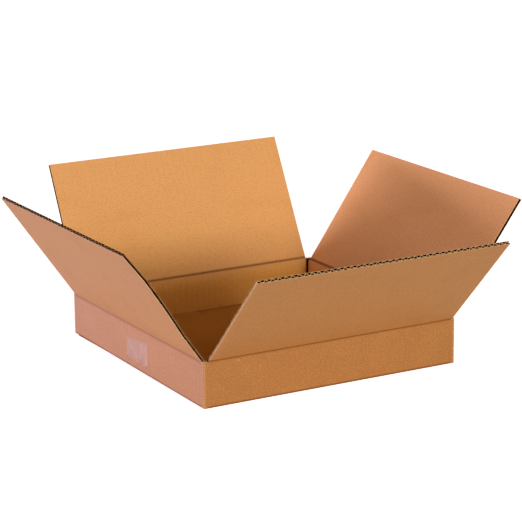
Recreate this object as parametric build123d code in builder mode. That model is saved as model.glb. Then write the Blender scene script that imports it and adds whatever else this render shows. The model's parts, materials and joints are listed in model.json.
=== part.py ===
from build123d import *

import os
from math import atan2, cos, degrees, pi, radians, sin, tan

# Shallow corrugated carton: one slotted and creased sheet of single-wall board, folded into a
# square box. Its bottom flaps are taped shut and its four top flaps lean open.
# Millimetres, +Z up. The origin is the middle of the base, on the surface the carton stands on.

# Board, C flute: two liners with a wavy medium between them
board = 3.6
liner = 0.3
medium = 0.25
flute_pitch = 7.6

# Carton, measured over the outside of its walls
length = 312.8
width = 312.8
outer_crease_height = 53.0
slot_width = 9.5
seam_gap = 2.6
fold_radius = 2.4

# Air left between layers that lie on each other, and round each crease that hinges
layer_gap = 0.3
hinge_gap = 0.3

# Creases of the top flaps: the board is crushed thin there and grows back to full thickness.
# The flap's middle stands off its crease line, outward on outer flaps and inward on inner ones.
crease_board = 2.0
crush_length = 4.0
crease_offset = 0.45
flute_stop = 2.0
open_limit = 105.0

# How far each top flap leans outward from upright as the carton stands
front_lean = 44.8
back_lean = 29.0
left_lean = 35.2
right_lean = 36.7

# Corners: the slots end below the outer crease, and stop short of the table
slot_depth = 2.0
corner_lift = 0.3
crease_bulge = 2.0

# Glued joint at the back right corner. The flaps on both sides of it are cut back at the root,
# so that a joint glued a little askew doesn't make them bind.
tab_width = 32.0
tab_board = 2.6
tab_taper = 7.0
tab_margin = 6.0
joint_slit = 1.0
joint_trim = 3.0

# Clear tape along the bottom seam, turned up both end walls
tape = 0.1
tape_width = 48.0
tape_tail = 31.0
tape_fit = 0.2

# Sizes that follow from those above
knuckle = crease_board / 2
inner_crease_height = outer_crease_height - board - layer_gap + 2 * crease_offset
slot_level = outer_crease_height - slot_depth
inner_floor = board + layer_gap
fold_top = inner_floor + board
outer_reach = width / 2 - board / 2 - seam_gap / 2
inner_reach = min(outer_reach, length / 2 - board / 2 - seam_gap / 2)
outer_flap_width = length - slot_width
inner_flap_width = width - slot_width


def panel_sides(offset):
    """How far a flap's outer and inner faces lie from its crease line."""
    return board / 2 + offset, board / 2 - offset


def flare(half):
    """Angle at which a face leaves the crushed crease, in degrees."""
    return degrees(atan2(half - knuckle, crush_length))


def flute_cell(side):
    """Outline of the open cell between one liner and the medium, seen at a cut edge.

    side is 1 for a cell against the inner liner and -1 for one against the outer liner.
    """
    core = board / 2 - liner
    swing = core - medium / 2
    half_outline = [(0.41 * flute_pitch, core)]
    for share in (0.27, 0.08):
        turn = 2 * pi * share
        slope = atan2(swing * 2 * pi / flute_pitch * sin(turn), 1)
        height = -swing * cos(turn) + medium / 2 / cos(slope)
        half_outline.append((share * flute_pitch, height))
    outline = half_outline + [(-x, y) for x, y in reversed(half_outline)]
    return [(x, side * y) for x, y in outline]


def flute_centres(span):
    """Where the cells against the outer and the inner liner lie across a panel.

    They take turns half a flute apart, and the first and last are cut through at the side edges.
    """
    step = flute_pitch / 2
    reach = span / 2 + 0.3 * flute_pitch
    first = -span / 2 + 0.15 * flute_pitch - step
    count = int((reach - first) / step) + 1
    centres = [(first + step * index, 0) for index in range(count)]
    return centres[0::2], centres[1::2]


# Each top flap: name, axis that it opens about, distance of its crease from the middle,
# crease height, span along the crease, reach, offset, lean, and which end along the axis is
# cut back at the joint
up = Vector(0, 0, 1)
outer_distance = width / 2 - board / 2
inner_distance = length / 2 - board / 2
flaps = [
    ("front_flap", Vector(1, 0, 0), outer_distance, outer_crease_height,
     outer_flap_width, outer_reach, crease_offset, front_lean, 0),
    ("back_flap", Vector(-1, 0, 0), outer_distance, outer_crease_height,
     outer_flap_width, outer_reach, crease_offset, back_lean, -1),
    ("left_flap", Vector(0, -1, 0), inner_distance, inner_crease_height,
     inner_flap_width, inner_reach, -crease_offset, left_lean, 0),
    ("right_flap", Vector(0, 1, 0), inner_distance, inner_crease_height,
     inner_flap_width, inner_reach, -crease_offset, right_lean, 1),
]


# Carton body: walls, folded bottom flaps and glued joint, all one sheet
with BuildPart() as carton_body:
    # Four walls in a ring, creased round at the upright corners
    with BuildSketch(Plane.XY.offset(corner_lift)):
        RectangleRounded(length, width, fold_radius)
        Rectangle(length - 2 * board, width - 2 * board, mode=Mode.SUBTRACT)
    extrude(amount=outer_crease_height - corner_lift)

    # The slots end at one level at all four corners
    with BuildSketch(Plane.XY.offset(slot_level)):
        Rectangle(length + board, width + board)
        Rectangle(outer_flap_width, width + board, mode=Mode.SUBTRACT)
        Rectangle(length + board, inner_flap_width, mode=Mode.SUBTRACT)
    extrude(amount=slot_depth + board, mode=Mode.SUBTRACT)

    # Wall tops: a ridge under each crease leaves the flap room to shut and to hang open
    for name, axis, distance, crease, span, reach, offset, lean, joint_end in flaps:
        outer_half, inner_half = panel_sides(offset)
        outward = axis.cross(up)
        open_slope = open_limit - 90 + flare(outer_half)
        rise_outer = knuckle * cos(radians(flare(outer_half))) + hinge_gap
        ridge = -rise_outer / cos(radians(open_slope))
        clear = board / 2 + hinge_gap
        outer_eave = ridge - clear * tan(radians(open_slope))
        inner_eave = ridge - clear * tan(radians(flare(inner_half)))
        crease_middle = outward * distance + up * crease
        with BuildSketch(Plane(origin=crease_middle, x_dir=outward, z_dir=axis * -1)):
            with BuildLine():
                Polyline(
                    (-clear, inner_eave),
                    (0, ridge),
                    (clear, outer_eave),
                    (clear, 2 * board),
                    (-clear, 2 * board),
                    close=True,
                )
            make_face()
        extrude(amount=span / 2 + hinge_gap, both=True, mode=Mode.SUBTRACT)

    # Room at the foot of each wall for its bottom fold
    with BuildSketch(Plane.XY):
        Rectangle(outer_flap_width, width + board)
        Rectangle(length + board, inner_flap_width)
    extrude(amount=fold_top, mode=Mode.SUBTRACT)

    # Outer bottom flaps, from the front and back walls, lie on the table
    with BuildSketch(Plane.YZ) as outer_folds:
        with BuildLine():
            Polyline(
                (-width / 2, fold_top),
                (-width / 2, 0),
                (-seam_gap / 2, 0),
                (-seam_gap / 2, board),
                (-width / 2 + board, board),
                (-width / 2 + board, fold_top),
                close=True,
            )
        make_face()
        fillet(outer_folds.vertices().group_by(Axis.Y)[0].sort_by(Axis.X)[0], fold_radius)
        mirror(about=Plane.YZ)
    extrude(amount=outer_flap_width / 2, both=True)

    # Inner bottom flaps, from the end walls, lie on the outer ones. The crease bulges below them.
    with BuildSketch(Plane.XZ) as inner_folds:
        with BuildLine():
            Polyline(
                (-length / 2, fold_top),
                (-length / 2, inner_floor - crease_bulge),
                (-length / 2 + board, inner_floor - crease_bulge),
                (-length / 2 + board, inner_floor),
                (-length / 2 + board / 2 + inner_reach, inner_floor),
                (-length / 2 + board / 2 + inner_reach, fold_top),
                close=True,
            )
        make_face()
        fillet(inner_folds.vertices().group_by(Axis.Y)[0].sort_by(Axis.X)[0], fold_radius)
        mirror(about=Plane.YZ)
    extrude(amount=inner_flap_width / 2, both=True)

    # Joint tab: the back wall runs round the corner and is glued outside the right wall
    tab_foot = inner_floor + tab_margin
    tab_top = slot_level - tab_margin / 2
    with BuildSketch(Plane.XY.offset(tab_foot)) as tab_plan:
        with BuildLine():
            Polyline(
                (length / 2, width / 2 - tab_width),
                (length / 2 + tab_board, width / 2 - tab_width),
                (length / 2 + tab_board, width / 2),
                (length / 2 - board, width / 2),
                (length / 2 - board, width / 2 - board),
                (length / 2, width / 2 - board),
                close=True,
            )
        make_face()
        fillet(tab_plan.vertices().group_by(Axis.X)[-1].sort_by(Axis.Y)[-1], fold_radius)
    extrude(amount=tab_top - tab_foot)
    with BuildSketch(Plane.YZ.offset(length / 2)):
        for level, turn in ((tab_foot, 1), (tab_top, -1)):
            with BuildLine():
                Polyline(
                    (width / 2 - tab_width, level),
                    (width / 2 - board, level),
                    (width / 2 - tab_width, level + turn * tab_taper),
                    close=True,
                )
            make_face()
    extrude(amount=tab_board, mode=Mode.SUBTRACT)

    # The right wall's raw end stops short of the back wall
    with BuildSketch(Plane.XY):
        with Locations((length / 2 - board / 2, width / 2 - board - joint_slit / 2)):
            Rectangle(board, joint_slit)
    extrude(amount=outer_crease_height, mode=Mode.SUBTRACT)

    # The tape is pressed flush into the underside
    with BuildSketch(Plane.XY):
        Rectangle(length, tape_width + 2 * tape_fit)
    extrude(amount=tape, mode=Mode.SUBTRACT)

carton_body.part.label = "carton_body"


# Top flaps: board with its flutes running from the crease to the free edge
top_flaps = []
for name, axis, distance, crease, span, reach, offset, lean, joint_end in flaps:
    outer_half, inner_half = panel_sides(offset)
    outward = axis.cross(up)
    along = outward * sin(radians(lean)) + up * cos(radians(lean))
    hinge = outward * distance + up * crease
    with BuildPart() as flap:
        # Side view: crushed round crease, flaring to the full board
        with BuildSketch(Plane(origin=hinge, x_dir=along, z_dir=axis)):
            with BuildLine():
                ThreePointArc((0, knuckle), (-knuckle, 0), (0, -knuckle))
                Polyline(
                    (0, -knuckle),
                    (crush_length, -inner_half),
                    (reach, -inner_half),
                    (reach, outer_half),
                    (crush_length, outer_half),
                    (0, knuckle),
                )
            make_face()
        extrude(amount=span / 2, both=True)

        # Open flutes, cut from the free edge down to the crushed crease
        middle = (outer_half - inner_half) / 2
        edge_middle = hinge + along * reach + axis.cross(along) * middle
        outer_centres, inner_centres = flute_centres(span)
        with BuildSketch(Plane(origin=edge_middle, x_dir=axis, z_dir=along)):
            with Locations(*outer_centres):
                Polygon(*flute_cell(-1), align=None)
            with Locations(*inner_centres):
                Polygon(*flute_cell(1), align=None)
        extrude(amount=-(reach - crush_length - flute_stop), mode=Mode.SUBTRACT)

        # Side edge slanted back from the free edge to the root beside the glued joint
        if joint_end:
            with BuildSketch(Plane(origin=hinge, x_dir=axis, z_dir=axis.cross(along))):
                with BuildLine():
                    Polyline(
                        (joint_end * span / 2, reach),
                        (joint_end * span / 2, -board),
                        (joint_end * (span / 2 - joint_trim), -board),
                        close=True,
                    )
                make_face()
            extrude(amount=board, both=True, mode=Mode.SUBTRACT)
    flap.part.label = name
    top_flaps.append(flap)


# Sealing tape: under the seam between the outer bottom flaps and up both end walls
with BuildPart() as sealing_tape:
    edge = length / 2 - slot_width / 2
    wall_foot = inner_floor - crease_bulge
    with BuildSketch(Plane.XZ):
        with BuildLine():
            Polyline(
                (0, tape),
                (edge, tape),
                (length / 2, wall_foot),
                (length / 2, tape_tail),
                (length / 2 + tape, tape_tail),
                (length / 2 + tape, wall_foot),
                (edge, 0),
                (0, 0),
                close=True,
            )
        make_face()
        mirror(about=Plane.YZ)
    extrude(amount=tape_width / 2, both=True)
sealing_tape.part.label = "sealing_tape"


os.makedirs("parts", exist_ok=True)
for piece in [carton_body, sealing_tape] + top_flaps:
    export_step(piece.part, f"parts/{piece.part.label}.step")
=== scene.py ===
import json
from math import atan2, ceil, cos, pi, radians, sin, tan

import bpy
from mathutils import Matrix, Vector


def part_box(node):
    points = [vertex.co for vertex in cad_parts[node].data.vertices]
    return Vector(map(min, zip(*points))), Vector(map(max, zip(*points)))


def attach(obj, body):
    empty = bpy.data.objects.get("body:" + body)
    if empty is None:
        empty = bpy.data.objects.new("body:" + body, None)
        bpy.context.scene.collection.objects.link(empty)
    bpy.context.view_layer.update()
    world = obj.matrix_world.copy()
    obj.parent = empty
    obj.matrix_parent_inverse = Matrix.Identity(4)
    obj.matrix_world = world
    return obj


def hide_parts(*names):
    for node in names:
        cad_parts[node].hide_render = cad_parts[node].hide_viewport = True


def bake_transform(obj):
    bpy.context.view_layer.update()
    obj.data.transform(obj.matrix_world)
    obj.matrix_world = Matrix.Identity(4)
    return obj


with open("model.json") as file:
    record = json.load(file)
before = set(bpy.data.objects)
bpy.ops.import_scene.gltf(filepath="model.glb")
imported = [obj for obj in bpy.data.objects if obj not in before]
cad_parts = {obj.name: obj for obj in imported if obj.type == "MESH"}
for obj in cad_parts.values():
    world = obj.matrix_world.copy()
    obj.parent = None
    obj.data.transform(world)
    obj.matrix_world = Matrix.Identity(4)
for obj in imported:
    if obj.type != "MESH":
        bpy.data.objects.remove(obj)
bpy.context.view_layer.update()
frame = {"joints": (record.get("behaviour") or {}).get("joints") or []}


# THE PAPERS
# The carton is one sheet of brown kraft corrugated board: two liners glued to a wavy medium.
# Kraft is unbleached long-fibre paper, warm brown and matt, made on a machine that lays its
# fibres mostly one way, here across the flutes.

MM = 0.001
flute_pitch = 7.6 * MM
liner_ribs = 0.07
dip_between_tips = 0.05
bruise_and_shade_brown = "#743c10"
bare_fibre = "#e6bd90"


def colour(code):
    """An sRGB hex colour as the linear RGBA that shaders take."""
    parts = [int(code[i:i + 2], 16) / 255 for i in (1, 3, 5)]
    return [p / 12.92 if p <= 0.04045 else ((p + 0.055) / 1.055) ** 2.4 for p in parts] + [1.0]


def add_node(tree, kind, settings=None, **inputs):
    """Adds a node with its settings, sets or links its inputs, and returns its first output.

    An input is given by its name, or by its place where several share a name, as in _1.
    """
    node = tree.nodes.new(kind)
    for name, value in (settings or {}).items():
        setattr(node, name, value)
    for name, value in inputs.items():
        words = name.split("_")
        place = int(words[-1]) if words[-1].isdigit() else " ".join(words)
        socket = node.inputs[place]
        if isinstance(value, bpy.types.NodeSocket):
            tree.links.new(value, socket)
        else:
            socket.default_value = value
    in_use = [output for output in node.outputs if output.enabled]
    return in_use[0] if in_use else node


def new_material(name):
    """A material and its tree, which is still empty."""
    material = bpy.data.materials.new(name)
    material.use_nodes = True
    material.node_tree.nodes.clear()
    return material, material.node_tree


def kraft_paper(name, base, pale, dark, ribs_shown, roughness, grain_height, shine=0.5,
                wear_and_shade=1.0, painted_flap_light=0.0, painted_flap_light_from=-1.0):
    """Kraft paper: cloudy, with a fine grain, flecks of bark and pale fibres. At creases it is
    painted darker, partly for bruising and partly as painted shade, and at cut edges its bare
    fibres are paler. Its dips between the flute tips are painted darker as painted shade. It
    shines only at a low angle.

    The flaps are painted towards the pale colour from painted_flap_light_from millimetres past the
    top
    crease: painted light on the flaps outside, and painted shade on the walls and floor inside.
    """
    material, tree = new_material(name)
    blank = add_node(tree, "ShaderNodeAttribute", {"attribute_name": "blank"}).node
    blank = blank.outputs["Vector"]
    rim = add_node(tree, "ShaderNodeAttribute", {"attribute_name": "rim"}).node.outputs["Fac"]
    fold = add_node(tree, "ShaderNodeAttribute", {"attribute_name": "fold"}).node.outputs["Fac"]

    # Spots in millimetres, and how far the machine stretched them. The fibres are really 2 to
    # 4 mm long and 0.03 mm wide: the grain and flecks are drawn coarser, so that they show.
    spots = {}
    for kind, size, stretch, detail in (("clouds", 30, 1.5, 3), ("grain", 1.6, 1.4, 4),
                                        ("bark", 1.3, 2.4, 2), ("fibre", 1.5, 2.2, 2),
                                        ("mottle", 7, 1.3, 2)):
        place = add_node(tree, "ShaderNodeMapping", Vector=blank, Scale=(
            1 / (size * stretch * MM), 1 / (size * MM), 1 / (size * MM)))
        spots[kind] = add_node(tree, "ShaderNodeTexNoise", Vector=place, Scale=1.0,
                               Detail=detail, Roughness=0.6)

    # How far above the top crease the paper lies on the flat blank, in millimetres
    lies = add_node(tree, "ShaderNodeSeparateXYZ", Vector=blank).node.outputs
    spots["flaps"] = add_node(tree, "ShaderNodeMath", {"operation": "MULTIPLY"}, _0=lies["Y"],
                              _1=1 / MM)

    # The liner dips a little between the flute tips that it is glued to
    turn = add_node(tree, "ShaderNodeMath", {"operation": "MULTIPLY"}, _0=lies["X"],
                    _1=2 * pi / flute_pitch)
    ribs = add_node(tree, "ShaderNodeMath", {"operation": "COSINE"}, _0=turn)
    strength = add_node(tree, "ShaderNodeMapRange", Value=spots["clouds"], From_Min=0.35,
                        From_Max=0.65, To_Min=0.2, To_Max=1.0)
    spots["ribs"] = add_node(tree, "ShaderNodeMath", {"operation": "MULTIPLY"}, _0=ribs,
                             _1=strength)

    # The ribs are painted shade in the liner's dips between the flute tips
    skin = colour(base)
    # Pale flaps are painted light outside; inside, the darker walls and floor are painted shade
    for kind, start, full, amount, paint in (
            ("ribs", -1.0, 1.0, ribs_shown, dark), ("flaps", painted_flap_light_from, 3.0, painted_flap_light, pale),
            ("clouds", 0.45, 0.72, 0.22, pale), ("clouds", 0.50, 0.25, 0.20, dark),
            ("mottle", 0.50, 0.75, 0.16, pale), ("mottle", 0.50, 0.25, 0.14, dark),
            ("grain", 0.50, 0.70, 0.80, pale), ("grain", 0.50, 0.32, 0.75, dark),
            ("bark", 0.64, 0.78, 0.38, dark), ("fibre", 0.64, 0.76, 0.60, pale)):
        share = add_node(tree, "ShaderNodeMapRange", {"interpolation_type": "SMOOTHSTEP"},
                         Value=spots[kind], From_Min=start, From_Max=full, To_Max=amount)
        skin = add_node(tree, "ShaderNodeMix", {"data_type": "RGBA"}, _0=share, _6=skin,
                        _7=colour(paint))
    # Folds are painted brown, partly for bruising and partly as painted shade; rims are bare fibre
    for wear_and_shade_mask, least, most, paint in ((fold, 0.75, 1.0, bruise_and_shade_brown), (rim, 0.1, 0.9, bare_fibre)):
        share = add_node(tree, "ShaderNodeMapRange", Value=spots["grain"], From_Min=0.3,
                         From_Max=0.7, To_Min=least * wear_and_shade, To_Max=most * wear_and_shade)
        share = add_node(tree, "ShaderNodeMath", {"operation": "MULTIPLY"}, _0=wear_and_shade_mask, _1=share)
        skin = add_node(tree, "ShaderNodeMix", {"data_type": "RGBA"}, _0=share, _6=skin,
                        _7=colour(paint))

    height = add_node(tree, "ShaderNodeMath", {"operation": "MULTIPLY"}, _0=spots["grain"],
                      _1=grain_height)
    ribs_height = add_node(tree, "ShaderNodeMath", {"operation": "MULTIPLY"}, _0=spots["ribs"],
                           _1=-dip_between_tips if ribs_shown else 0.0)
    height = add_node(tree, "ShaderNodeMath", {"operation": "ADD"}, _0=height, _1=ribs_height)
    bump = add_node(tree, "ShaderNodeBump", Height=height, Strength=1.0, Distance=MM)
    gloss = add_node(tree, "ShaderNodeMapRange", Value=fold, To_Min=shine, To_Max=0.0)
    rough = add_node(tree, "ShaderNodeMapRange", Value=spots["grain"], From_Min=0.2,
                     From_Max=0.8, To_Min=roughness - 0.05, To_Max=roughness + 0.08)
    shader = add_node(tree, "ShaderNodeBsdfPrincipled", Base_Color=skin, Roughness=rough,
                      Normal=bump, IOR=1.5, Specular_IOR_Level=gloss)
    add_node(tree, "ShaderNodeOutputMaterial", Surface=shader)
    return material


outside_liner = kraft_paper("kraft_linerboard", "#a46b2f", "#b88144", "#905921", liner_ribs,
                            0.60, 0.08, painted_flap_light=0.9)
inside_liner = kraft_paper("kraft_linerboard_inside", "#e8b15a", "#ebb27a", "#d19453",
                           3 * liner_ribs, 0.75, 0.08, 0.0, painted_flap_light=0.85, painted_flap_light_from=-14.0)
cut_edge = kraft_paper("die_cut_paper_edge", "#e6bd91", "#f6d8b3", "#bd8d5c", 0.0, 0.85, 0.1)

# The tubes between the flutes are drawn darker than paper: hardly any light gets down them
kraft_medium = kraft_paper("kraft_fluting_medium", "#180b05", "#221108", "#0f0603", 0.0,
                           0.9, 0.1, 0.0)
tube_wall = kraft_paper("kraft_linerboard_in_the_tubes", "#180b05", "#221108", "#0f0603", 0.0,
                        0.9, 0.1, 0.0, 0.0)


# CORRUGATED BOARD
# A corrugator glues the medium's flute tips to both liners, and every flute then runs straight
# up the walls and out along the flaps. Each paper is one closed skin, which Geometry Nodes lift
# off the board's middle as a flat liner or as a wave.

# Real papers are 0.2 to 0.3 mm thick. The medium is drawn thicker, so that its cut edge shows
board = 3.6 * MM
liner_paper = 0.3 * MM
medium_paper = 0.46 * MM

paper_layer = bpy.data.node_groups.new("Paper layer of the board", "GeometryNodeTree")
for name, kind in (("Board", "Geometry"), ("Side", "Float"), ("Waviness", "Float"),
                   ("Paper", "Float"), ("Inset", "Float"), ("Flute pitch", "Float"),
                   ("Unevenness", "Float"), ("Seed", "Int"), ("Outer paper", "Material"),
                   ("Inner paper", "Material"), ("Edge paper", "Material")):
    paper_layer.interface.new_socket(name, in_out="INPUT", socket_type="NodeSocket" + kind)
paper_layer.interface.new_socket("Layer", in_out="OUTPUT", socket_type="NodeSocketGeometry")
given = paper_layer.nodes.new("NodeGroupInput").outputs
middle = {}
for name, kind in (("across", "FLOAT_VECTOR"), ("half", "FLOAT"), ("shift", "FLOAT"),
                   ("blank", "FLOAT_VECTOR")):
    middle[name] = add_node(paper_layer, "GeometryNodeInputNamedAttribute",
                            {"data_type": kind}, Name=name)

# The wave is a cosine over the flute pitch, a little uneven from flute to flute
along = add_node(paper_layer, "ShaderNodeSeparateXYZ", Vector=middle["blank"])
flutes = add_node(paper_layer, "ShaderNodeMath", {"operation": "DIVIDE"}, _0=along,
                  _1=given["Flute pitch"])
seeded = add_node(paper_layer, "ShaderNodeMath", {"operation": "ADD"}, _0=flutes,
                  _1=given["Seed"])
wander = add_node(paper_layer, "ShaderNodeTexNoise", {"noise_dimensions": "1D"}, W=seeded,
                  Scale=0.8, Detail=1.0)
wander = add_node(paper_layer, "ShaderNodeMath", {"operation": "SUBTRACT"}, _0=wander, _1=0.5)
wander = add_node(paper_layer, "ShaderNodeMath", {"operation": "MULTIPLY_ADD"}, _0=wander,
                  _1=given["Unevenness"], _2=flutes)
wander = add_node(paper_layer, "ShaderNodeMath", {"operation": "MULTIPLY"}, _0=wander,
                  _1=2 * pi)
wave = add_node(paper_layer, "ShaderNodeMath", {"operation": "COSINE"}, _0=wander)
place = add_node(paper_layer, "ShaderNodeMath", {"operation": "MULTIPLY_ADD"}, _0=wave,
                 _1=given["Waviness"], _2=given["Side"])
swing = add_node(paper_layer, "ShaderNodeMath", {"operation": "SUBTRACT"}, _0=middle["half"],
                 _1=given["Inset"])
lift = add_node(paper_layer, "ShaderNodeMath", {"operation": "MULTIPLY_ADD"}, _0=place,
                _1=swing, _2=middle["shift"])
lift = add_node(paper_layer, "ShaderNodeMath", {"operation": "MULTIPLY_ADD"},
                _0=given["Paper"], _1=-0.5, _2=lift)
lift = add_node(paper_layer, "ShaderNodeVectorMath", {"operation": "SCALE"},
                Vector=middle["across"], Scale=lift)
lifted = add_node(paper_layer, "GeometryNodeSetPosition", Geometry=given["Board"], Offset=lift)

# The lifted sheet is extruded by the paper's thickness, and a turned copy closes its back
thick = add_node(paper_layer, "GeometryNodeExtrudeMesh", {"mode": "FACES"}, Mesh=lifted,
                 Offset_Scale=given["Paper"], Individual=False)
back = add_node(paper_layer, "GeometryNodeFlipFaces", Mesh=lifted)
both = paper_layer.nodes.new("GeometryNodeJoinGeometry")
paper_layer.links.new(back, both.inputs[0])
paper_layer.links.new(thick, both.inputs[0])
closed = add_node(paper_layer, "GeometryNodeMergeByDistance", Geometry=both.outputs[0],
                  Distance=0.001 * MM)
real = add_node(paper_layer, "GeometryNodeRealizeInstances", Geometry=closed)
faced = add_node(paper_layer, "GeometryNodeSetMaterial", Geometry=real,
                 Material=given["Inner paper"])
faced = add_node(paper_layer, "GeometryNodeSetMaterial", Geometry=faced,
                 Selection=thick.node.outputs["Top"], Material=given["Outer paper"])
edged = add_node(paper_layer, "GeometryNodeSetMaterial", Geometry=faced,
                 Selection=thick.node.outputs["Side"], Material=given["Edge paper"])
add_node(paper_layer, "NodeGroupOutput", Layer=edged)


def add_object(name, data):
    """An object in the scene, at the origin."""
    made = bpy.data.objects.new(name, data)
    bpy.context.scene.collection.objects.link(made)
    return made


def run_tree(tree, mesh, values):
    """Runs a tree on a mesh and returns the plain mesh that comes out."""
    holder = add_object("holder", mesh)
    modifier = holder.modifiers.new("tree", "NODES")
    modifier.node_group = tree
    for item in tree.interface.items_tree:
        if item.in_out == "INPUT" and item.name in values:
            modifier[item.identifier] = values[item.name]
    graph = bpy.context.evaluated_depsgraph_get()
    made = bpy.data.meshes.new_from_object(holder.evaluated_get(graph), depsgraph=graph)
    bpy.data.objects.remove(holder)
    return made


def spread(first, last, step, near_ends=()):
    """Numbers from first to last, about step apart, with more close to both ends."""
    count = max(1, ceil((last - first) / step))
    numbers = {first + (last - first) * index / count for index in range(count + 1)}
    numbers |= {first + near for near in near_ends} | {last - near for near in near_ends}
    return sorted(numbers)


def middle_sheet(rows, columns, spot, side):
    """The board's middle as a grid. spot gives each point's place, its direction and distance
    to both faces, where it lies on the flat blank, and its bare fibre and bruising on the given
    side, with painted light and shade."""
    points = [spot(row, column, side) for row in rows for column in columns]
    wide = len(columns)
    corner, beside, above = points[0]["at"], points[1]["at"], points[wide]["at"]
    turned = (beside - corner).cross(above - corner).dot(points[0]["across"]) < 0
    faces = []
    for first in range(len(points) - wide):
        if (first + 1) % wide:
            face = (first, first + 1, first + wide + 1, first + wide)
            faces.append(face[::-1] if turned else face)
    mesh = bpy.data.meshes.new("middle")
    mesh.from_pydata([point["at"] for point in points], [], faces)
    for name in ("across", "blank"):
        layer = mesh.attributes.new(name, "FLOAT_VECTOR", "POINT")
        layer.data.foreach_set("vector", [part for point in points for part in point[name]])
    for name in ("half", "shift", "rim", "fold"):
        layer = mesh.attributes.new(name, "FLOAT", "POINT")
        layer.data.foreach_set("value", [point[name] for point in points])
    return mesh


def lay_board(rows, first, last, spot, seed, column_step=12 * MM, wave_step=flute_pitch / 6,
              inner_paper=inside_liner, inner_edge=inside_liner, medium_edge=kraft_medium):
    """Both liners and the medium between them, as three closed skins, from the first to the
    last column of each row. inner_paper shows inside the carton, and inner_edge and medium_edge
    where the inside liner and the medium are cut."""
    columns = spread(first, last, column_step, (0.5 * MM, 1.1 * MM, 2.2 * MM))
    skins = []
    for side, outer, inner, edge in ((1, outside_liner, tube_wall, cut_edge),
                                     (-1, tube_wall, inner_paper, inner_edge)):
        sheet = middle_sheet(rows, columns, spot, side)
        skins.append(run_tree(paper_layer, sheet, {
            "Side": float(side), "Paper": liner_paper, "Inset": liner_paper / 2,
            "Flute pitch": flute_pitch, "Outer paper": outer, "Inner paper": inner,
            "Edge paper": edge}))
    sheet = middle_sheet(rows, spread(first, last, wave_step), spot, 0)
    skins.append(run_tree(paper_layer, sheet, {
        "Waviness": 1.0, "Paper": medium_paper, "Inset": liner_paper + medium_paper / 2,
        "Flute pitch": flute_pitch, "Unevenness": 0.25, "Seed": seed,
        "Outer paper": kraft_medium, "Inner paper": kraft_medium,
        "Edge paper": medium_edge}))
    return skins


def join_skins(name, skins):
    """Joins meshes into one object, smooth over its bends and sharp at its cut edges."""
    parts = [add_object(name, skin) for skin in skins]
    with bpy.context.temp_override(active_object=parts[0], selected_editable_objects=parts):
        bpy.ops.object.join()
    piece = parts[0]
    piece.name = name
    piece.data.shade_smooth()
    piece.data.set_sharp_from_angle(angle=radians(38))
    return piece


# THE BENT BOARD
# Creasing wheels press the board thin along each fold before it is bent, so a fold has a narrow
# valley on one side and a soft, broad dent on the other. Every wall with its top and bottom
# flap is one strip of the blank, and four narrow strips turn the corners.

def swell(distance, width):
    """1 at a fold, falling smoothly to 0 at width from it."""
    return 0.5 + 0.5 * cos(pi * distance / width) if abs(distance) < width else 0.0


def bend_line(corners, radii):
    """A line through the corners, rounded at each, as a place for each length along it.

    Also gives the line's length and the length at the middle of each bend.
    """
    runs, bends, travel, start = [], [], 0.0, corners[0]
    for corner, beyond, radius in zip(corners[1:], corners[2:], radii):
        before = (corner - start).normalized()
        after = (beyond - corner).normalized()
        turn = atan2(before.cross(after), before.dot(after))
        cut = radius * tan(abs(turn) / 2)
        run = (corner - start).length - cut
        runs.append((travel, start, before, 0.0))
        travel += run
        bends.append(travel + radius * abs(turn) / 2)
        curve = 1 / radius if turn > 0 else -1 / radius
        runs.append((travel, corner - before * cut, before, curve))
        travel += radius * abs(turn)
        start = corner + after * cut
    last = (corners[-1] - start).normalized()
    runs.append((travel, start, last, 0.0))
    travel += (corners[-1] - start).length

    def place(length):
        """Position and direction at a length along the line."""
        begun, origin, heading, curve = [run for run in runs if run[0] <= length + 1e-9][-1]
        gone = length - begun
        if not curve:
            return origin + heading * gone, heading
        angle = gone * curve
        sideways = Vector((-heading.y, heading.x))
        at = origin + (heading * sin(angle) + sideways * (1 - cos(angle))) / curve
        return at, heading * cos(angle) + sideways * sin(angle)

    return place, travel, bends


# WALLS AND BOTTOM FLAPS
# Each wall is one piece of board with its bottom flap, folded at the bottom crease. The end
# walls' bottom flaps lie on those of the front and back wall, and the tape holds both pairs. The
# slots between the flaps end at the corners, where the cut shows the open flutes.

slot_width = 9.5 * MM
slot_depth = 2.0 * MM
top_seam_gap = 2.6 * MM
bottom_seam_gap = 0.3 * MM
layer_gap = 0.3 * MM
tape_film = 0.1 * MM
crease_offset = 0.45 * MM
furthest_lean = 105
top_radius, bottom_radius, corner_radius = 2.6 * MM, 0.5 * MM, 0.5 * MM
skin_below = 5 * MM

# How deep and how wide the creasing wheels, the bends and the die left their marks
# Several of these marks are also painted shade, a painted contact shadow and painted light
valley_dip, valley_width = 0.06 * MM, 1.7 * MM
dent_dip, dent_width = 0.6 * MM, 2.0 * MM
fold_dip, fold_width = 1.35 * MM, 2.8 * MM
corner_bulge, corner_width = 0.55 * MM, 0.42 * MM
crushed_depth, crushed_width = 0.62, 3.0 * MM
nipped_depth, rim_width, faint_rim = 0.12, 1.0 * MM, 0.3
torn_and_lit_share, torn_and_lit_width = 0.9, 1.4 * MM
end_wall_bruise_and_shade, top_bruise_and_shade_width = 0.65, 3.4 * MM
foot_bruise_and_shadow_drop, foot_bruise_and_shadow_width = 0.1 * MM, 0.9 * MM
inner_bruise_and_shade, inner_bruise_and_shade_width = 0.85, 2.1 * MM
trimmed_end_shade_width = 3.0 * MM
rub_and_highlight_share, rub_and_highlight_width = 0.45, 0.9 * MM
end_sag, sag_inset = 3.7 * MM, 3.0 * MM
curl_centre, curl_reach = 0.66, 0.42

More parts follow.
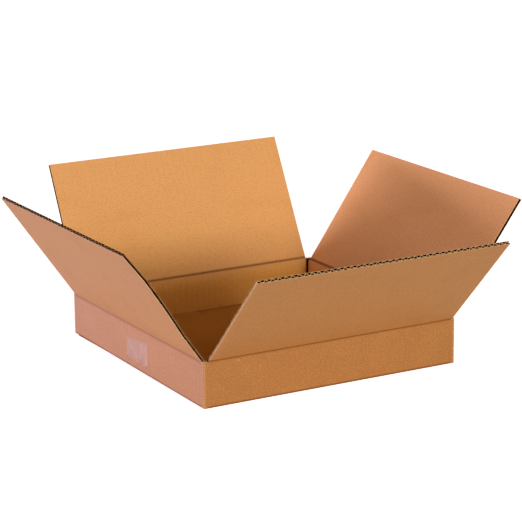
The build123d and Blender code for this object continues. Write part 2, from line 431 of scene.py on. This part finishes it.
up = Vector((0, 0, 1))
joints = {joint["child"]: joint for joint in frame["joints"]}
half_box = -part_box("carton_body")[0].x
wall_middle = half_box - board / 2
slot_level = joints["front_flap"]["pos_m"][2] - slot_depth
half_span = half_box - slot_width / 2
reach = wall_middle - top_seam_gap / 2
meeting = wall_middle - bottom_seam_gap / 2


def board_strip(number, name, trims=(0.0, 0.0), tip_trims=(0.0, 0.0), crushed_end=0.0, torn_and_lit=0.2,
                warp=0.0):
    """One wall with its two flaps: its line in side view, and what lies where along it.

    The top flap's two ends are cut back by trims at the root and by tip_trims at the free edge.
    crushed_end is how much the die crushed one end, and its sign says which. torn is how much
    pale paint the medium gets at its free edge, for bare fibre and as painted light, and warp how
    far its front corner curls inward.
    """
    joint = joints[name]
    axis = Vector(joint["axis"])
    outward = axis.cross(up)
    outer = name in ("front_flap", "back_flap")
    toward_front = -axis.y
    offset = crease_offset if outer else -crease_offset
    crease = joint["pos_m"][2]

    # A flap's range is counted from how it stands, and ends at its furthest lean from upright
    lean = radians(furthest_lean - joint["range_deg"][1])

    # In side view, x is how far outside the wall's middle a point is, and y how high it is
    foot = tape_film + board / 2 if outer else board + layer_gap + board / 2
    along = Vector((sin(lean), cos(lean)))
    across = Vector((cos(lean), -sin(lean)))
    free_edge = Vector((0, crease)) + along * reach + across * offset
    knee = Vector((0, crease - offset / sin(lean)))
    place, length, bends = bend_line([Vector((-meeting, foot)), Vector((0, foot)), knee,
                                      free_edge], [bottom_radius, top_radius])
    bottom, top = bends
    parting = top - skin_below

    def crushed(travel, column):
        """How much the die crushed the board, which it did along one end of the top flap."""
        if travel <= top or column * crushed_end <= 0:
            return 0.0
        return abs(crushed_end) * swell(half_span - abs(column), crushed_width)

    def faces(travel, column):
        """The distances from the board's middle to its outer and its inner face."""
        over = min(1.0, max(0.0, (travel - top) / (top_radius * lean) + 0.5))
        to_outer = board / 2 + offset * over
        to_outer -= valley_dip * swell(travel - top, valley_width)
        to_outer += corner_bulge * swell(travel - bottom, corner_width)
        to_inner = board / 2 - offset * over
        to_inner -= dent_dip * swell(travel - top, dent_width)
        to_inner -= fold_dip * swell(travel - bottom, fold_width)
        nipped = swell(half_span - abs(column), rim_width) * (travel > top)
        pressed = max(crushed_depth * crushed(travel, column), nipped_depth * nipped)
        to_outer -= pressed * (to_outer - liner_paper)
        to_inner -= pressed * (to_inner - liner_paper)
        return to_outer, to_inner

    def wear_and_shade(travel, column, side):
        """Bare fibre at the rims and bruising at the folds, with painted light and shade."""
        edge = half_span - abs(column)
        if side:
            on_flap = travel > top or travel < bottom
            free_rims = max(swell(travel, rim_width), swell(length - travel, rim_width))
            rim = max(swell(edge, rim_width) * on_flap, faint_rim * free_rims)
            rim = max(rim, crushed(travel, column)) if side > 0 else faint_rim * rim
        else:
            # The medium's free edge is painted pale: bare fibre, and painted light, strongest on
            # the front flap
            rim = torn_and_lit_share * torn_and_lit * swell(length - travel, torn_and_lit_width)
        if side < 0:
            # Beside a corner below a trimmed flap, the inside wall is painted darker as painted
            # shade
            below_trimmed_end = (trims[column > 0] > 0) * (travel < top)
            # The inside top crease is painted darker, partly for bruising and partly as painted
            # shade
            fold = max(inner_bruise_and_shade * swell(travel - top, inner_bruise_and_shade_width),
                       swell(edge, trimmed_end_shade_width) * below_trimmed_end)
        else:
            # Outside, the top crease is painted darker, partly bruising and partly painted shade
            # in its valley
            bruise_and_shade = 1.0 if outer else end_wall_bruise_and_shade
            # Along the foot it is painted darker, partly for bruising and partly as a painted
            # contact shadow
            fold = max(bruise_and_shade * swell(travel - top, top_bruise_and_shade_width),
                       swell(travel - bottom + foot_bruise_and_shadow_drop, foot_bruise_and_shadow_width))
        return rim, fold

    def spot(travel, column, side):
        """A point of the board's middle: travel up the strip, column along the crease."""
        at, heading = place(travel)
        facing = Vector((heading.y, -heading.x))
        to_outer, to_inner = faces(travel, column)
        rim, fold = wear_and_shade(travel, column, side)

        # The end walls' bottom creases bulge down beside the outer flaps, most at the front
        near_front = 0.5 + 0.5 * toward_front * column / half_span
        if not outer:
            downward = (crease - at.y) / (crease - foot) if travel > bottom else 1.0
            beside = max(0.0, 1 + min(0.0, at.x / sag_inset))
            at.y -= end_sag * near_front * beside * max(0.0, downward)

        # A top flap is cut back most at its root, and its front corner curls between both ends
        to_free_edge = min(1.0, (travel - top) / (length - top))
        at -= facing * warp * swell(to_free_edge - curl_centre, curl_reach) * near_front ** 2
        ramp = min(1.0, max(0.0, (travel - top + slot_depth) / slot_depth))
        trim = trims[column > 0] * ramp * (1 - to_free_edge)
        trim += tip_trims[column > 0] * max(0.0, to_free_edge)
        along_crease = column * (1 - trim / half_span)
        return {"at": outward * (wall_middle + at.x) + up * at.y + axis * along_crease,
                "across": outward * facing.x + up * facing.y,
                "half": (to_outer + to_inner) / 2, "shift": (to_outer - to_inner) / 2,
                "blank": (number * 2 * half_box + column, travel - top, 0.0),
                "rim": rim, "fold": fold}

    # Rows of points lie close together at both bends and at the free edges
    near_bend = [0.0] + [side * step * MM for side in (-1, 1)
                         for step in (0.2, 0.45, 0.7, 0.95, 1.3, 1.7, 2.2, 2.8, 3.6)]
    near_edge = [step * MM for step in (0, 0.8, 2.2)]
    rows = {bottom + near for near in near_bend} | {top + near for near in near_bend}
    rows |= {near for near in near_edge} | {length - near for near in near_edge}
    rows |= {parting, (bottom + parting) / 2}
    rows |= {bottom * share for share in (0.25, 0.5, 0.75)}
    rows |= {top + (length - top) * share for share in (0.07, 0.25, 0.5, 0.75)}
    return {"name": name, "number": number, "axis": axis, "outward": outward, "lean": lean,
            "crease": crease, "top": top, "parting": parting, "rows": sorted(rows), "spot": spot}


strips = [
    board_strip(0, "front_flap", trims=(2.5 * MM, -1.6 * MM), tip_trims=(-1.2 * MM, 0.0),
                crushed_end=-1.0, torn_and_lit=1.0),
    board_strip(1, "right_flap", trims=(0.0, 5.5 * MM)),
    board_strip(2, "back_flap", trims=(1.5 * MM, 0.0), tip_trims=(0.0, 2.8 * MM)),
    board_strip(3, "left_flap", crushed_end=0.3, warp=3.0 * MM)]
carton_skins = []
for strip in strips:
    rows = [row for row in strip["rows"] if row <= strip["parting"]]
    carton_skins += lay_board(rows, -half_span, half_span, strip["spot"], strip["number"])


corner_seed = 7


def corner_strip(number, corners, radius, clockwise, levels, thin, step=0.13 * MM,
                 inner_paper=inside_liner):
    """A strip that turns a corner in plan. levels(travel) gives its lower and upper edge, and
    thin(travel) half of its thickness."""
    place, length, bends = bend_line(corners, [radius])

    def spot(share, travel, side):
        """A point of the board's middle: share of the way up it, and travel along it."""
        at, heading = place(travel)
        facing = Vector((-heading.y, heading.x)) if clockwise else Vector(
            (heading.y, -heading.x))
        low, high = levels(travel)
        level = low + (high - low) * share
        crush = fold_dip * swell(travel - bends[0], fold_width) * (not clockwise)
        bulge = corner_bulge * swell(travel - bends[0], corner_width) * (not clockwise)
        half = thin(travel)
        # The outer corner is painted pale, partly for rubbing and partly as a painted highlight
        rub_and_highlight = swell(travel - bends[0], rub_and_highlight_width) * (side > 0 and not clockwise)
        rim = max(faint_rim * swell(level - low, rim_width), swell(high - level, rim_width),
                  rub_and_highlight_share * rub_and_highlight)
        # Inside, the corner's bend is painted darker, partly for bruising and partly as painted
        # shade
        return {"at": Vector((at.x, at.y, level)), "across": Vector((facing.x, facing.y, 0)),
                "half": half + (bulge - crush) / 2, "shift": (bulge + crush) / 2,
                "blank": (number * 2 * half_box + half_span + travel,
                          level - strips[0]["crease"], 0.0),
                "rim": rim, "fold": swell(travel - bends[0], fold_width) * (side < 0)}

    rows = spread(0.0, 1.0, 0.5, (0.01, 0.025, 0.06))
    return lay_board(rows, 0.0, length, spot, corner_seed + number, step,
                     inner_paper=inner_paper)


# Three walls turn a corner into the next one. Each corner's foot is cut at two levels, one for
# the wall before the bend and one for the wall after it.
corner_feet = {0: (0.4 * MM, 2.4 * MM), 2: (3.8 * MM, 4.4 * MM), 3: (0.7 * MM, 0.4 * MM)}
for number, feet in corner_feet.items():
    before, after = strips[number], strips[(number + 1) % 4]
    ends = [before["outward"] * wall_middle + before["axis"] * half_span,
            before["outward"] * wall_middle + before["axis"] * wall_middle,
            after["outward"] * wall_middle - after["axis"] * half_span]
    carton_skins += corner_strip(number, [end.xy for end in ends], corner_radius, False,
                                 lambda travel: (feet[travel > wall_middle - half_span],
                                                 slot_level),
                                 lambda travel: board / 2)


# GLUED JOINT
# The blank's last panel ends in a tab, pressed thinner, that is glued outside the right wall at
# the back corner. The right wall's raw end stops just short of the back wall.

tab_board = 2.6 * MM
tab_width = 32 * MM
tab_margin = 6 * MM
tab_taper = 7 * MM
tab_radius = 1.1 * MM
tab_below_slot = 0.6 * MM
tab_pressed_from = 3 * MM
tab_press_run = 3 * MM
tab_cut_from = 7 * MM
tab_line = half_box + tab_board / 2
tab_root = tab_line + wall_middle - 2 * half_span


def tab_levels(travel):
    """The tab's lower and upper edge, cut back at a slant from its root."""
    share = min(1.0, max(0.0, (travel - tab_root) / tab_width))
    past_corner = travel > tab_cut_from
    low = board + layer_gap + tab_margin * past_corner + tab_taper * share
    high = slot_level - tab_margin / 2 * past_corner - tab_taper * share - tab_below_slot
    return low, high


def tab_thickness(travel):
    """Half of the thickness, which falls from the wall's to the pressed tab's."""
    share = min(1.0, max(0.0, (travel - tab_pressed_from) / tab_press_run))
    return (board - (board - tab_board) * share) / 2


tab_corners = [Vector((half_span, wall_middle)), Vector((tab_line, wall_middle)),
               Vector((tab_line, half_box - tab_width))]
# The tab's inner side takes the near-black of the tubes: painted shade in the joint's slit
carton_skins += corner_strip(1, tab_corners, tab_radius, True, tab_levels, tab_thickness,
                             step=0.4 * MM, inner_paper=kraft_medium)


# LOOSE FIBRES
# The die tears as much as it cuts, so the slots' edges are fringed with kraft's long fibres. Each
# fringe is scattered along an edge by Geometry Nodes. A fibre is really 0.03 mm wide, and is drawn
# at 0.16 mm, so that a fringe shows.

fibre_radius = 0.08 * MM
fibre_scatter = 0.3 * MM
long_fibre, short_fibre = 1.5 * MM, 1.2 * MM
slot_spacing, slot_seed = 0.45 * MM, 40

fibre_paper, tree = new_material("loose_kraft_fibres")
spots = add_node(tree, "ShaderNodeTexCoord").node.outputs["Object"]
tone = add_node(tree, "ShaderNodeTexNoise", Vector=spots, Scale=1 / (2 * MM), Detail=1.0)
tone = add_node(tree, "ShaderNodeMix", {"data_type": "RGBA"}, _0=tone, _6=colour("#c59563"),
                _7=colour("#f6dcbc"))
shader = add_node(tree, "ShaderNodeBsdfPrincipled", Base_Color=tone, Roughness=0.8, IOR=1.5)
add_node(tree, "ShaderNodeOutputMaterial", Surface=shader)

fringe = bpy.data.node_groups.new("Fringe of loose fibres", "GeometryNodeTree")
for name, kind in (("Edge", "Geometry"), ("Spacing", "Float"), ("Fibre length", "Float"),
                   ("Fibre radius", "Float"), ("Scatter", "Float"), ("Seed", "Int"),
                   ("Paper", "Material")):
    fringe.interface.new_socket(name, in_out="INPUT", socket_type="NodeSocket" + kind)
fringe.interface.new_socket("Fringe", in_out="OUTPUT", socket_type="NodeSocketGeometry")
given = fringe.nodes.new("NodeGroupInput").outputs
run = add_node(fringe, "GeometryNodeMeshToCurve", Mesh=given["Edge"])
roots = add_node(fringe, "GeometryNodeCurveToPoints", {"mode": "LENGTH"}, Curve=run,
                 Length=given["Spacing"])
away = add_node(fringe, "FunctionNodeRandomValue", {"data_type": "FLOAT_VECTOR"},
                Min=(-1.0, -1.0, -1.0), Max=(1.0, 1.0, 1.0), Seed=given["Seed"])
away = add_node(fringe, "ShaderNodeVectorMath", {"operation": "SCALE"}, Vector=away,
                Scale=given["Scatter"])
roots = add_node(fringe, "GeometryNodeSetPosition", Geometry=roots, Offset=away)

# One fibre is a short bent hair, and each that grows is turned and scaled at random
tip = add_node(fringe, "ShaderNodeCombineXYZ", X=given["Fibre length"])
crook = add_node(fringe, "ShaderNodeVectorMath", {"operation": "MULTIPLY_ADD"}, _0=tip,
                 _1=(0.5, 0.0, 0.0), _2=(0.0, 0.35 * MM, 0.2 * MM))
hair = add_node(fringe, "GeometryNodeCurveQuadraticBezier", Resolution=3, Start=(0, 0, 0),
                Middle=crook, End=tip)
girth = add_node(fringe, "GeometryNodeCurvePrimitiveCircle", Resolution=3,
                 Radius=given["Fibre radius"])
hair = add_node(fringe, "GeometryNodeCurveToMesh", Curve=hair, Profile_Curve=girth,
                Fill_Caps=True)
turned = add_node(fringe, "FunctionNodeRandomValue", {"data_type": "FLOAT_VECTOR"},
                  Min=(-pi, -pi, -pi), Max=(pi, pi, pi), Seed=given["Seed"])
grown = add_node(fringe, "FunctionNodeRandomValue", {"data_type": "FLOAT"}, Min_2=0.35,
                 Max_3=1.3, Seed=given["Seed"])
hairs = add_node(fringe, "GeometryNodeInstanceOnPoints", Points=roots, Instance=hair,
                 Rotation=turned, Scale=grown)
hairs = add_node(fringe, "GeometryNodeRealizeInstances", Geometry=hairs)
hairs = add_node(fringe, "GeometryNodeSetMaterial", Geometry=hairs, Material=given["Paper"])
add_node(fringe, "NodeGroupOutput", Fringe=hairs)


def fray(places, spacing, length, seed):
    """A fringe of loose fibres along a line of places."""
    edge = bpy.data.meshes.new("edge")
    edge.from_pydata(places, [(index, index + 1) for index in range(len(places) - 1)], [])
    return run_tree(fringe, edge, {"Spacing": spacing, "Fibre length": length,
                                   "Fibre radius": fibre_radius, "Scatter": fibre_scatter,
                                   "Seed": seed, "Paper": fibre_paper})


# The foot of each slot is fringed on the outside and the inside of its corner
for strip in strips:
    for line in (half_box, half_box - board):
        ends = [strip["outward"] * line + strip["axis"] * half_span,
                strip["outward"] * line + strip["axis"] * line,
                strip["outward"] * half_span + strip["axis"] * line]
        carton_skins.append(fray([end + up * slot_level for end in ends], slot_spacing,
                                 long_fibre, slot_seed + strip["number"]))

# A chip of the front wall's liner is torn up just below its crease, and shows bare fibres
chip_middle = Vector((-114.9 * MM, -half_box, 47.4 * MM))
chip_along, chip_up, chip_raised, chip_sunk = 0.85 * MM, 0.65 * MM, 0.3 * MM, 0.1 * MM
chip_points, chip_slant, chip_ripple = 8, 0.3, 0.06 * MM
ring = []
for point in range(chip_points):
    turn = point * 2 * pi / chip_points
    ring.append(chip_middle + Vector((chip_along * cos(turn), -chip_ripple * (point % 3),
                                      chip_up * sin(turn + chip_slant))))
peaks = [chip_middle + Vector((0, chip_sunk, 0)), chip_middle - Vector((0, chip_raised, 0))]
pairs = [(point, (point + 1) % chip_points) for point in range(chip_points)]
chip = bpy.data.meshes.new("chip")
chip.from_pydata(ring + peaks, [], [(second, first, chip_points) for first, second in pairs] +
                 [(first, second, chip_points + 1) for first, second in pairs])
chip.materials.append(fibre_paper)
carton_skins.append(chip)
carton_board = join_skins("carton_board", carton_skins)
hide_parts("carton_body")
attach(carton_board, "carton")


# TOP FLAPS
# The same strips go on over their top creases as the four flaps. The liners run on across each
# crease without a break, and each flap's skin starts 5 mm below its crease.

flap_seed = 20
root_run, root_spacing, root_seed = 30 * MM, 0.8 * MM, 50
frayed_spacing, clean_spacing, end_seed = 0.7 * MM, 3.5 * MM, 60

# How each flap's cut edges look: pale and frayed where the paper tore, painted shade where dark
medium_edges = {"front_flap": cut_edge, "left_flap": outside_liner}
inner_edges = {"left_flap": kraft_medium, "back_flap": kraft_medium}
frayed_ends = {"front_flap": -1, "left_flap": 1}

for strip in strips:
    rows = [row for row in strip["rows"] if row >= strip["parting"]]
    skins = lay_board(rows, -half_span, half_span, strip["spot"], flap_seed + strip["number"],
                      wave_step=flute_pitch / 14,
                      inner_edge=inner_edges.get(strip["name"], inside_liner),
                      medium_edge=medium_edges.get(strip["name"], kraft_medium))
    for end in (-half_span, half_span):
        for side in (1, -1):
            root, full = [], []
            for travel in rows:
                point = strip["spot"](travel, end, side)
                face = point["at"] + point["across"] * (point["shift"] + side * point["half"])
                if strip["top"] < travel < strip["top"] + root_run:
                    root.append(face)
                if travel > strip["top"]:
                    full.append(face)
            skins.append(fray(root, root_spacing, long_fibre, root_seed + strip["number"]))
            frayed = frayed_ends.get(strip["name"], 0) * end > 0
            skins.append(fray(full, frayed_spacing if frayed else clean_spacing, short_fibre,
                              end_seed + strip["number"]))
    flap = join_skins(strip["name"] + "_board", skins)
    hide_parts(strip["name"])
    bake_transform(flap)


# SEALING TAPE
# Clear polypropylene film, pulled along the seam under the box and up the middle of both end
# walls. The dispenser's blade left its ends toothed and a little askew. Where its adhesive
# hasn't wetted the board, air shows as a pale, milky mottle.

tape_width = 48 * MM
tape_tail = 35.7 * MM
tape_aside = -2.8 * MM
tape_skew = -0.092
film = 0.07 * MM
tooth_pitch, tooth_height = 1.6 * MM, 0.6 * MM
wall_bend, foot_bend = 2.2 * MM, 1.5 * MM
foot_height, foot_inset = 2.8 * MM, 0.5 * MM
straight_run = 6 * MM
bubble_size = 13 * MM
unstuck_run, unstuck_fade = 23 * MM, 3 * MM
lifted_edge, lifted_fade = 0.8 * MM, 2.2 * MM

packing_tape, tree = new_material("clear_polypropylene_tape")
spots = add_node(tree, "ShaderNodeAttribute", {"attribute_name": "blank"}).node
spots = spots.outputs["Vector"]
lies = add_node(tree, "ShaderNodeSeparateXYZ", Vector=spots).node.outputs
bubbles = add_node(tree, "ShaderNodeTexNoise", Vector=spots, Scale=1 / bubble_size, Detail=2.0,
                   Roughness=0.5)
milky = add_node(tree, "ShaderNodeMapRange", Value=bubbles, From_Min=0.32, From_Max=0.68,
                 To_Min=0.4, To_Max=0.56)
unstuck = add_node(tree, "ShaderNodeMapRange", Value=lies["Y"],
                   From_Min=unstuck_run - unstuck_fade, From_Max=unstuck_run + unstuck_fade,
                   To_Min=1.0, To_Max=0.04)
milky = add_node(tree, "ShaderNodeMath", {"operation": "MULTIPLY"}, _0=milky, _1=unstuck)
edge = add_node(tree, "ShaderNodeMapRange", Value=lies["X"],
                From_Min=lifted_fade - tape_width / 2, From_Max=lifted_edge - tape_width / 2,
                To_Min=0.0, To_Max=0.3)
edge = add_node(tree, "ShaderNodeMath", {"operation": "MULTIPLY"}, _0=edge, _1=unstuck)
milky = add_node(tree, "ShaderNodeMath", {"operation": "ADD"}, _0=milky, _1=edge)
clear = add_node(tree, "ShaderNodeBsdfTransparent", Color=colour("#ffffff"))
hazy = add_node(tree, "ShaderNodeBsdfPrincipled", Base_Color=colour("#d6ae96"), Roughness=0.3,
                IOR=1.49)
mixed = add_node(tree, "ShaderNodeMixShader", _0=milky, _1=clear, _2=hazy)
add_node(tree, "ShaderNodeOutputMaterial", Surface=mixed)

# Seen from the front, the film runs down the left wall, under the box and up the right wall
wall_line = half_box + film
foot_line = half_span - foot_inset
tape_corners = [Vector((-wall_line, tape_tail)), Vector((-wall_line, foot_height)),
                Vector((-foot_line, film)), Vector((foot_line, film)),
                Vector((wall_line, foot_height)), Vector((wall_line, tape_tail))]
tape_place, tape_length, tape_bends = bend_line(
    tape_corners, [wall_bend, foot_bend, foot_bend, wall_bend])


def tape_spot(row, column, side):
    """A point of the film: row along it, column across it, with teeth at both of its ends."""
    tooth = abs((column / tooth_pitch) % 1 - 0.5) * 2 * tooth_height
    raised = tape_skew * column + tooth
    to_end = min(row, tape_length - row)
    at, heading = tape_place(row)
    at.y += raised * max(0.0, 1 - to_end / (tape_tail - straight_run))
    return {"at": Vector((at.x, column + tape_aside, at.y)),
            "across": Vector((-heading.y, 0, heading.x)),
            "half": 0.0, "shift": 0.0, "rim": 0.0, "fold": 0.0,
            "blank": (column, to_end, 0.0)}


rows = set(spread(0.0, tape_length, 10 * MM, (1 * MM, 3 * MM)))
for bend in tape_bends:
    rows |= {bend + step * 0.45 * MM for step in range(-4, 5)}
columns = spread(-tape_width / 2, tape_width / 2, tooth_pitch / 2)
tape_sheet = middle_sheet(sorted(rows), columns, tape_spot, 0)
tape_skin = run_tree(paper_layer, tape_sheet, {
    "Paper": film, "Flute pitch": flute_pitch, "Outer paper": packing_tape,
    "Inner paper": packing_tape, "Edge paper": packing_tape})
tape_piece = join_skins("packing_tape", [tape_skin])
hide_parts("sealing_tape")
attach(tape_piece, "carton")


# STUDIO
# A pale sweep under plain soft light. The background is white to the camera and in reflections,
# and the floor keeps the carton's shadow.

floor_size = 12.0
floor_gap = 0.2 * MM
floor_glow = 0.8
floor_mesh = bpy.data.meshes.new("floor")
floor_mesh.from_pydata([(x * floor_size, y * floor_size, -floor_gap) for x, y in
                        ((-1, -1), (1, -1), (1, 1), (-1, 1))], [], [(0, 1, 2, 3)])
floor = add_object("floor", floor_mesh)


def background_rays(tree):
    """1 for the camera's rays and what is mirrored or seen through clear film, 0 for light."""
    rays = add_node(tree, "ShaderNodeLightPath").node.outputs
    seen = add_node(tree, "ShaderNodeMath", {"operation": "MAXIMUM"}, _0=rays["Is Camera Ray"],
                    _1=rays["Is Glossy Ray"])
    return add_node(tree, "ShaderNodeMath", {"operation": "MAXIMUM"}, _0=seen,
                    _1=rays["Is Transmission Ray"])


paint, tree = new_material("matt_white_sweep")
seen = background_rays(tree)
lift = add_node(tree, "ShaderNodeMath", {"operation": "MULTIPLY"}, _0=seen,
                _1=floor_glow)
matt = add_node(tree, "ShaderNodeBsdfDiffuse", Color=colour("#f4f4f4"))
glow = add_node(tree, "ShaderNodeEmission", Strength=lift)
both = add_node(tree, "ShaderNodeAddShader", _0=matt, _1=glow)
add_node(tree, "ShaderNodeOutputMaterial", Surface=both)
floor_mesh.materials.append(paint)

world = bpy.data.worlds.new("studio")
bpy.context.scene.world = world
world.use_nodes = True
tree = world.node_tree
tree.nodes.clear()
seen = background_rays(tree)
room = add_node(tree, "ShaderNodeBackground", Color=colour("#ffc478"), Strength=0.08)
white = add_node(tree, "ShaderNodeBackground", Color=colour("#ffffff"), Strength=1.0)
mixed = add_node(tree, "ShaderNodeMixShader", _0=seen, _1=room, _2=white)
add_node(tree, "ShaderNodeOutputWorld", Surface=mixed)


def toward(azimuth, elevation):
    """The direction at degrees to the right of the front and above the floor."""
    turn, rise = radians(azimuth), radians(elevation)
    return Vector((sin(turn) * cos(rise), -cos(turn) * cos(rise), sin(rise)))


# Plain area lamps, each by its turn to the right of the front and its rise above the floor
target = Vector((0, 0, 60 * MM))
lamp_distance = 8.0
for name, azimuth, elevation, wide, high, power, tint in (
        ("front_strip", 5, 13, 3.7, 1.2, 320, "#fff9e2"),
        ("front_softbox", 10, 18, 3.2, 3.2, 152, "#fff9e2"),
        ("left_softbox", -75, 18, 3.2, 3.2, 256, "#eee1ff"),
        ("low_strip_behind_left", -150, 5, 3.7, 1.0, 705, "#eee1ff"),
        ("low_strip_behind_right", 125, 5, 3.7, 1.0, 330, "#ffffff")):
    lamp = bpy.data.lights.new(name, "AREA")
    lamp.shape, lamp.size, lamp.size_y, lamp.energy = "RECTANGLE", wide, high, power
    lamp.color = colour(tint)[:3]
    stand = add_object(name, lamp)
    back = toward(azimuth, elevation)
    stand.location = target + back * lamp_distance
    stand.rotation_euler = back.to_track_quat("Z", "Y").to_euler()

# The camera looks down through a long lens from the front left, a little above the flaps
eye = Vector((-1.23929, -2.19305, 0.76749))
azimuth, elevation, roll = -29.508, 14.782, radians(-0.562)
focal_pixels, frame_pixels = 2337.0, 522
back = toward(azimuth, elevation)
level = Vector((cos(radians(azimuth)), sin(radians(azimuth)), 0))
upright = back.cross(level)
right = level * cos(roll) + upright * sin(roll)
top = upright * cos(roll) - level * sin(roll)
lens = bpy.data.cameras.new("camera")
lens.sensor_width = 36
lens.lens = focal_pixels / frame_pixels * lens.sensor_width
lens.clip_start, lens.clip_end = 0.05, 50
camera = add_object("camera", lens)
camera.matrix_world = Matrix((right, top, back)).transposed().to_4x4()
camera.location = eye
bpy.context.scene.camera = camera
bpy.context.scene.view_settings.view_transform = "Standard"
